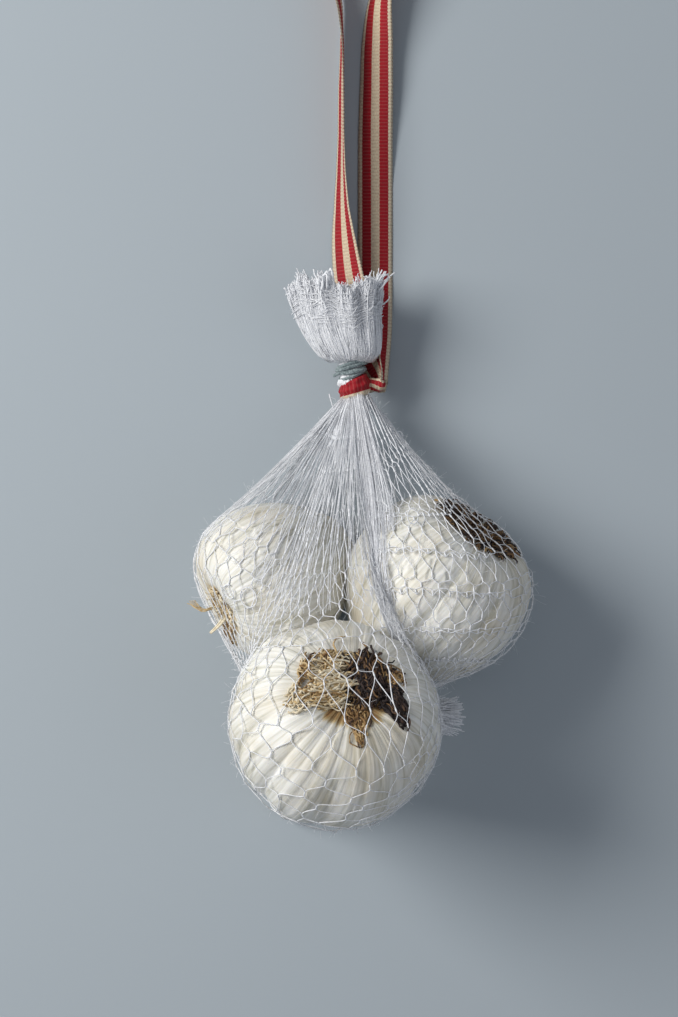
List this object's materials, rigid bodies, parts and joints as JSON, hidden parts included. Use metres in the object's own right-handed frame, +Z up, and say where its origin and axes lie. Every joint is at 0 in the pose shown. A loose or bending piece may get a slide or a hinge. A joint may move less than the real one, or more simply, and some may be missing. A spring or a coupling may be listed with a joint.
{
  "type": "net bag of garlic bulbs",
  "caption": "Whole white garlic bulbs in a stretchy knitted net bag, gathered to a tied neck with a frayed tuft and a striped hanging ribbon, lying on its back.",
  "frame": {"origin": "on the surface the bag lies on, under the middle of everything but the free ribbon", "axes": "+Y from the bulbs towards the tied neck and tuft, +Z up from the surface towards the shown side, +X to the right"},
  "size_m": [0.0966, 0.3011, 0.08],
  "materials": {
    "net_thread": "matte",
    "garlic_skin": "satin",
    "root_fibre": "matte",
    "twine": "matte",
    "ribbon": "satin"
  },
  "bodies": {
    "root": {"net_bag": "net_thread", "twine_tie": "twine", "ribbon_wrap": "ribbon", "ribbon_loop": "ribbon"}
  },
  "joints": []
}
